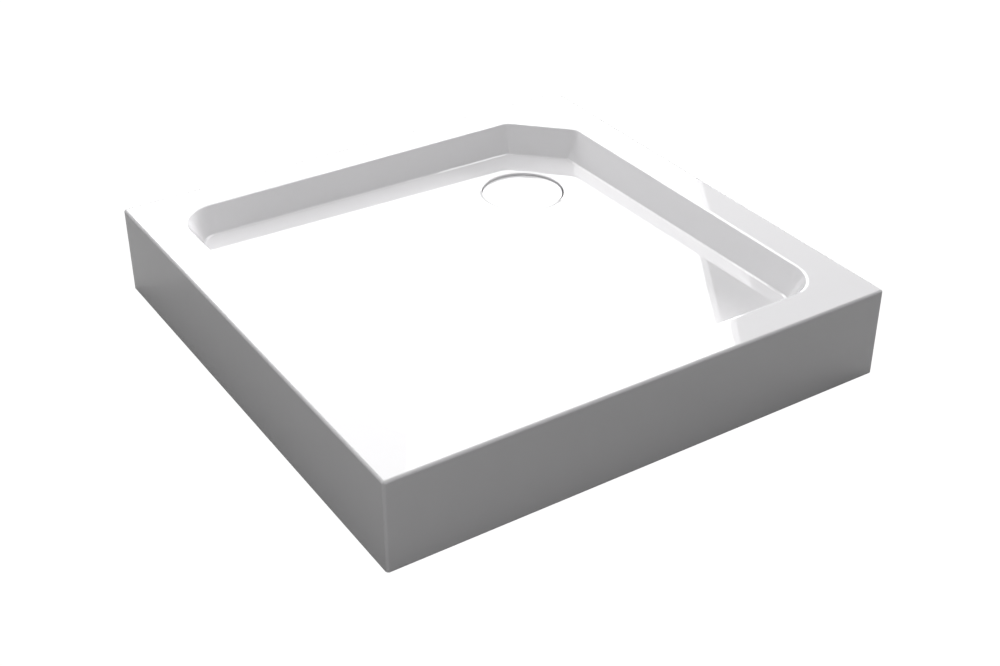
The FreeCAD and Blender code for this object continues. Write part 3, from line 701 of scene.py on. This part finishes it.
def thread(mesh, place_at, start, end):
    """A screw thread between two heights: crests and roots run round in a helix."""
    rows = int((end - start) / PITCH) * 2
    turns = []
    for row in range(rows + 1):
        radius = STUD_CORE if row % 2 == 0 or row in (1, rows - 1) else STUD_RADIUS
        ring = []
        for step in range(THREAD_STEPS):
            angle = math.tau * step / THREAD_STEPS
            height = start + (row / 2 + step / THREAD_STEPS) * PITCH
            point = Vector((radius * math.cos(angle), radius * math.sin(angle), min(height, end)))
            ring.append(mesh.verts.new(place_at @ point))
        turns.append(ring)
    for row in range(rows - 2):
        lower = [*turns[row], turns[row + 2][0]]
        upper = [*turns[row + 1], turns[row + 3][0]]
        bridge(mesh, lower, upper, closed=False)
    last = rows - 2
    for loop in ([*turns[0], turns[2][0], turns[1][0]],
                 [*turns[last], turns[last + 2][0], turns[last + 1][0]]):
        middle = mesh.verts.new(sum((vertex.co for vertex in loop), Vector()) / len(loop))
        for index, vertex in enumerate(loop):
            mesh.faces.new((vertex, loop[(index + 1) % len(loop)], middle))


def foot_stud(name, x, y, material):
    """A threaded stud whose lower end is a chamfered spanner hexagon."""
    place_at = Matrix.Translation(foot_axis(x, y, STUD_BOTTOM)) @ LEAN
    half = STUD_FLATS / 2
    mesh = bmesh.new()
    lathe(mesh, [(half - STUD_CHAMFER, STUD_LIFT), (half, STUD_CHAMFER, HEXAGON),
                 (half, STUD_HEXAGON - STUD_CHAMFER, HEXAGON), (half, STUD_HEXAGON),
                 (STUD_CORE, STUD_HEXAGON), (STUD_CORE, STUD_HEXAGON + 2 * PITCH)],
          place_at, THREAD_STEPS)
    thread(mesh, place_at, STUD_HEXAGON + PITCH / 2, STUD_LENGTH - STUD_STOP)
    node = f"foot_stud_{name}"
    finish_mesh(mesh, f"thread_{name}", f"stud_{name}", material, [node], sharp=25)


def pad_ribs(name, x, y, material):
    """The ribs from a foot's hub out to its edge."""
    centre = foot_axis(x, y, SEAT_HEIGHT)
    centre.z = 0
    mesh = bmesh.new()
    for number in range(PAD_RIBS):
        turn = Matrix.Rotation(math.tau * number / PAD_RIBS, 4, "Z")
        fin(mesh, PAD_RIB, RIB, Matrix.Translation(centre) @ turn)
    finish_mesh(mesh, f"pad_ribs_{name}", f"foot_{name}", material)


def nuts_and_beads(material):
    """The lock nut under each of the rails' weld nuts, and the bead that holds the weld nut."""
    half = NUT_FLATS / 2
    bore = STUD_RADIUS + NUT_GAP
    low = NUT_BOTTOM - LOCK_NUT
    high = NUT_BOTTOM - NUT_GAP
    nut = [(bore, low), (half, low), (half, low + NUT_CHAMFER, HEXAGON),
           (half, high - NUT_CHAMFER, HEXAGON), (half, high), (bore, high)]
    bead = [(half + out, RAIL_BOTTOM - down, HEXAGON) for out, down in WELD_BEAD]
    nuts = bmesh.new()
    beads = bmesh.new()
    for x, y in FEET.values():
        place_at = laid(x * FOOT_OFFSET, y * FOOT_OFFSET, 0)
        lathe(nuts, nut, place_at, THREAD_STEPS, closed=True)
        lathe(beads, bead, place_at, THREAD_STEPS, closed=True)
    finish_mesh(nuts, "lock_nuts", "root", material, sharp=20)
    finish_mesh(beads, "weld_beads", "root", material, sharp=50)


def rail_screws(material):
    """The flanged hexagon screws that hold the rails."""
    profile = [(out, RAIL_BOTTOM - down, *sides) for out, down, *sides in RAIL_SCREW]
    places = [(side * FOOT_OFFSET, along) for side in (-1, 1) for along in SIDE_RAIL_SCREWS]
    places += [(along, 0) for along in CROSS_RAIL_SCREWS]
    screws = bmesh.new()
    for x, y in places:
        lathe(screws, profile, laid(x, y, 0), THREAD_STEPS)
    finish_mesh(screws, "rail_screws", "root", material, sharp=25)


# ------------------------------------------------------------------------ waste and its trap
PLATE_TOP = 91.5 * MM
PLATE_SCREWS = 4
SCREW_CIRCLE = 51.6 * MM
TUBE_BORE = 17 * MM
INSERT_TOP = 94 * MM
INSERT_RADIUS = 46 * MM
GRIP_BAR = (2 * TUBE_BORE + RIB, 3 * MM, 5 * MM)
GRIP_BAR_DROP = 1.5 * MM                # its middle below the insert's top
GRIP_BAR_EDGE = 0.8 * MM
GRIP_PLATE = (RIB, 16 * MM, 3 * MM)     # one near each end of the bar
GRIP_PLATE_OFFSET = 12 * MM
GRIP_PLATE_DROP = 1 * MM
GRIP_PLATE_EDGE = 0.6 * MM
SEAL_RADIUS = 0.9 * MM                  # of the ring's round section
SEAL_HEIGHT = 1.1 * MM                  # its middle above the plate
SEAL_STEPS = 12
BOWL_OUTSIDE = 47 * MM
TRAP_RIBS = 12
OUTLET_RIB = 3                          # left out, because the outlet is on this side
# Section of a plate screw's head, from its socket: (out, up from the plate, sides)
PLATE_SCREW = ((1.3 * MM, 0.6 * MM, HEXAGON), (1.3 * MM, 2.1 * MM, HEXAGON),
               (2.6 * MM, 1.9 * MM), (3.6 * MM, 1.2 * MM), (4 * MM, 0.4 * MM),
               (4 * MM, -0.2 * MM))
# Section of the bead on the insert's rim: (in from the rim's edge, up from its top)
RIM_BEAD = ((3.4 * MM, -0.2 * MM), (3 * MM, 0.8 * MM), (1.4 * MM, 0.8 * MM),
            (1 * MM, -0.2 * MM))
# Outline of a rib on the trap: (out from the drain's axis, up from the ground)
TRAP_RIB = ((BOWL_OUTSIDE - RIB, 20 * MM), (BOWL_OUTSIDE + 1 * MM, 20 * MM),
            (BOWL_OUTSIDE + 2 * MM, 24 * MM), (BOWL_OUTSIDE + 2 * MM, 68 * MM),
            (57 * MM, 78.2 * MM), (BOWL_OUTSIDE - RIB, 78.2 * MM))


def waste_screws(material):
    """The screws that hold the waste's flange."""
    mesh = bmesh.new()
    for number in range(PLATE_SCREWS):
        angle = math.tau * (number + 0.5) / PLATE_SCREWS
        out = Vector((math.cos(angle), math.sin(angle), 0)) * SCREW_CIRCLE
        place_at = Matrix.Translation(DRAIN + out + Vector((0, 0, PLATE_TOP)))
        lathe(mesh, PLATE_SCREW, place_at, THREAD_STEPS)
    finish_mesh(mesh, "waste_screws", "root", material, sharp=40)


def insert_grip(material):
    """The bar and plates by which the insert is lifted, and a bead on its rim."""
    mesh = bmesh.new()
    middle = DRAIN + Vector((0, 0, INSERT_TOP - GRIP_BAR_DROP))
    block(mesh, GRIP_BAR, Matrix.Translation(middle), GRIP_BAR_EDGE)
    for side in (-1, 1):
        middle = DRAIN + Vector((side * GRIP_PLATE_OFFSET, 0, INSERT_TOP - GRIP_PLATE_DROP))
        block(mesh, GRIP_PLATE, Matrix.Translation(middle), GRIP_PLATE_EDGE)
    lathe(mesh, [(INSERT_RADIUS - inward, INSERT_TOP + up) for inward, up in RIM_BEAD], closed=True)
    finish_mesh(mesh, "insert_grip", "trap_insert", material)


def insert_seal(material):
    """The round sealing ring under the insert's rim."""
    turns = [math.tau * step / SEAL_STEPS for step in range(SEAL_STEPS)]
    ring = [(INSERT_RADIUS + SEAL_RADIUS * math.cos(turn),
             PLATE_TOP + SEAL_HEIGHT + SEAL_RADIUS * math.sin(turn)) for turn in turns]
    mesh = bmesh.new()
    lathe(mesh, ring, closed=True)
    finish_mesh(mesh, "insert_seal", "trap_insert", material)


def trap_ribs(material):
    """The upright ribs round the trap."""
    mesh = bmesh.new()
    for number in range(TRAP_RIBS):
        if number != OUTLET_RIB:
            turn = Matrix.Rotation(math.tau * number / TRAP_RIBS, 4, "Z")
            fin(mesh, TRAP_RIB, RIB, Matrix.Translation(DRAIN) @ turn)
    finish_mesh(mesh, "trap_ribs", "root", material)


# ---------------------------------------------------------------------------------- studio
FLOOR_SIZE = 60.0
FLOOR_LEVEL = -0.0005                   # the floor that the camera sees
GROUND_LEVEL = -0.001                   # the floor that light falls on
BACKDROP = 1.05
SKY_HORIZON = 0.0                       # the sky's light on matt surfaces, low down and overhead
SKY_ZENITH = 0.27
GROUND_SHADE = 0.25                     # how much light the unseen ground throws back
CARD_HEIGHT = 2.5                       # the big softbox behind and above the tray
CARD_NEAR, CARD_FAR = 1.85, 9.5         # its ends, along the camera's heading
CARD_LEFT, CARD_RIGHT = -2.4, 1.015     # its sides, across the heading
CARD_LIGHT = 2.02
DIM_FAR, DIM_RIGHT = 2.97, -0.33        # its near left corner is dimmer, up to here
DIM_LIGHT = 1.35
EDGE_WIDTH = 0.03                       # and so is a narrow strip along its right side
EDGE_LIGHT = 0.7
# Softboxes that light the tray but don't show in reflections: (width, depth, brightness, middle)
FILL_LIGHTS = {
    "overhead": (1.6, 1.6, 2.95, (0, 0, 2.4)),
    "front": (2.0, 2.0, 1.25, (-1.7, -2.0, 1.9)),
    "right": (2.0, 0.8, 33.0, (3.3, 1.4, 0.9)),
    "back": (1.6, 1.0, 8.5, (-0.8, 3.0, 1.1)),
}


def area_light(name, width, depth, brightness, middle, turn):
    """A softbox that looks along its own -Z, as bright all over as brightness says."""
    light = bpy.data.lights.new(name, "AREA")
    light.shape = "RECTANGLE"
    light.size = width
    light.size_y = depth
    light.energy = brightness * width * depth * math.pi
    holder = bpy.data.objects.new(name, light)
    holder.location = middle
    holder.rotation_euler = turn
    holder.visible_camera = False
    bpy.context.scene.collection.objects.link(holder)
    return holder


def card(name, left, right, near, far, brightness):
    """A level softbox, placed along and across the camera's heading."""
    middle = HEADING * (near + far) / 2 + ACROSS * (left + right) / 2
    middle.z = CARD_HEIGHT
    area_light(name, right - left, far - near, brightness, middle, (0, 0, -VIEW_AZIMUTH))


def aimed(name, width, depth, brightness, middle):
    """A softbox aimed at the middle of the tray; reflections don't show it."""
    turn = (-Vector(middle)).to_track_quat("-Z", "Y").to_euler()
    holder = area_light(name, width, depth, brightness, middle, turn)
    holder.visible_glossy = False


def studio_plane(name, shade, glow, height, unseen_by):
    """One level of the studio's floor, hidden from some kinds of ray."""
    bpy.ops.mesh.primitive_plane_add(size=FLOOR_SIZE, location=(0, 0, height))
    plane = bpy.context.object
    plane.name = name
    material = bpy.data.materials.new(name)
    material.use_nodes = True
    shader = material.node_tree.nodes["Principled BSDF"]
    shader.inputs["Base Color"].default_value = (shade, shade, shade, 1)
    shader.inputs["Specular IOR Level"].default_value = 0
    shader.inputs["Emission Color"].default_value = (1, 1, 1, 1)
    shader.inputs["Emission Strength"].default_value = glow
    plane.data.materials.append(material)
    for ray in unseen_by:
        setattr(plane, f"visible_{ray}", False)


def sky():
    """White to the camera, a soft light to matt surfaces, and black in reflections."""
    world = bpy.data.worlds.new("studio_world")
    bpy.context.scene.world = world
    world.use_nodes = True
    tree = world.node_tree
    output = next(node for node in tree.nodes if node.type == "OUTPUT_WORLD")
    rays = tree.nodes.new("ShaderNodeLightPath")

    def background(shade, strength=1.0):
        node = tree.nodes.new("ShaderNodeBackground")
        node.inputs["Color"].default_value = (shade, shade, shade, 1)
        node.inputs["Strength"].default_value = strength
        return node

    def chosen(ray, otherwise, when_true):
        node = tree.nodes.new("ShaderNodeMixShader")
        tree.links.new(rays.outputs[ray], node.inputs[0])
        tree.links.new(otherwise.outputs[0], node.inputs[1])
        tree.links.new(when_true.outputs[0], node.inputs[2])
        return node

    direction = tree.nodes.new("ShaderNodeTexCoord")
    height = tree.nodes.new("ShaderNodeSeparateXYZ")
    level = tree.nodes.new("ShaderNodeMapRange")
    level.inputs["To Min"].default_value = SKY_HORIZON
    level.inputs["To Max"].default_value = SKY_ZENITH
    ambient = background(1)
    tree.links.new(direction.outputs["Generated"], height.inputs[0])
    tree.links.new(height.outputs["Z"], level.inputs["Value"])
    tree.links.new(level.outputs["Result"], ambient.inputs["Strength"])
    unseen = chosen("Is Glossy Ray", ambient, background(0))
    seen = chosen("Is Camera Ray", unseen, background(1, BACKDROP))
    tree.links.new(seen.outputs[0], output.inputs["Surface"])


def studio():
    """A white floor without shadows, a big softbox behind and above, and soft fill."""
    not_camera = ("diffuse", "glossy", "transmission", "shadow")
    studio_plane("studio_floor", 0, BACKDROP, FLOOR_LEVEL, not_camera)
    studio_plane("studio_ground", GROUND_SHADE, 0, GROUND_LEVEL, ("camera",))
    sky()
    card("card", CARD_LEFT, CARD_RIGHT, DIM_FAR, CARD_FAR, CARD_LIGHT)
    card("card_dim", CARD_LEFT, DIM_RIGHT, CARD_NEAR, DIM_FAR, DIM_LIGHT)
    card("card_near", DIM_RIGHT, CARD_RIGHT, CARD_NEAR, DIM_FAR, CARD_LIGHT)
    card("card_edge", CARD_RIGHT, CARD_RIGHT + EDGE_WIDTH, CARD_NEAR, CARD_FAR, EDGE_LIGHT)
    for name, (width, depth, brightness, middle) in FILL_LIGHTS.items():
        aimed(name, width, depth, brightness, middle)
    bpy.context.scene.view_settings.view_transform = "Standard"


def camera():
    """The camera that took the photo, as fitted to the tray's corners."""
    data = bpy.data.cameras.new("camera")
    data.lens = CAMERA_LENS
    data.sensor_width = SENSOR
    data.clip_end = CAMERA_REACH
    holder = bpy.data.objects.new("camera", data)
    holder.location = CAMERA_PLACE
    holder.rotation_euler = Euler([math.radians(angle) for angle in CAMERA_TURN])
    bpy.context.scene.collection.objects.link(holder)
    bpy.context.scene.camera = holder


camera()
studio()

steel = zinc()
black = moulded("black_plastic", dark=(0.018, 0.018, 0.019), light=(0.03, 0.03, 0.032),
                low=0.4, high=0.6)
white = moulded("white_polypropylene", dark=(0.70, 0.71, 0.70), light=(0.78, 0.79, 0.79),
                low=0.3, high=0.45)
grey = moulded("grey_polypropylene", dark=(0.30, 0.33, 0.36), light=(0.35, 0.38, 0.41),
               low=0.3, high=0.45)
rubber = moulded("sealing_rubber", dark=(0.02, 0.02, 0.02), light=(0.035, 0.034, 0.033),
                 low=0.7, high=0.9, grain=300)
wood_along_x = softwood("softwood_along_x", (0.06, 1, 1))
wood_along_y = softwood("softwood_along_y", (1, 0.06, 1))
finishes = {
    "floor_board": chipboard(),
    "front_batten": wood_along_x, "back_batten": wood_along_x,
    "left_batten": wood_along_y, "right_batten": wood_along_y,
    "rail_caps": black, "weld_nuts": steel, "body_gasket": rubber,
    "waste_flange": white, "trap_body": white,
    "outlet_nut": grey, "dip_tube": grey, "trap_cup": grey,
}
finishes.update(dict.fromkeys(["left_rail", "right_rail", "cross_rail"], galvanised()))
finishes.update({f"foot_pad_{name}": black for name in FEET})
for node, finish in finishes.items():
    for material_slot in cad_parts[node].material_slots:
        material_slot.material = finish

tray_shell(acrylic("acrylic"))
laminate_backing(laminate())
drain_cover(acrylic("cover_gloss"))
nuts_and_beads(steel)
rail_screws(steel)
waste_screws(steel)
insert_grip(grey)
insert_seal(rubber)
trap_ribs(white)
for name, (x, y) in FEET.items():
    foot_stud(name, x, y, steel)
    pad_ribs(name, x, y, black)
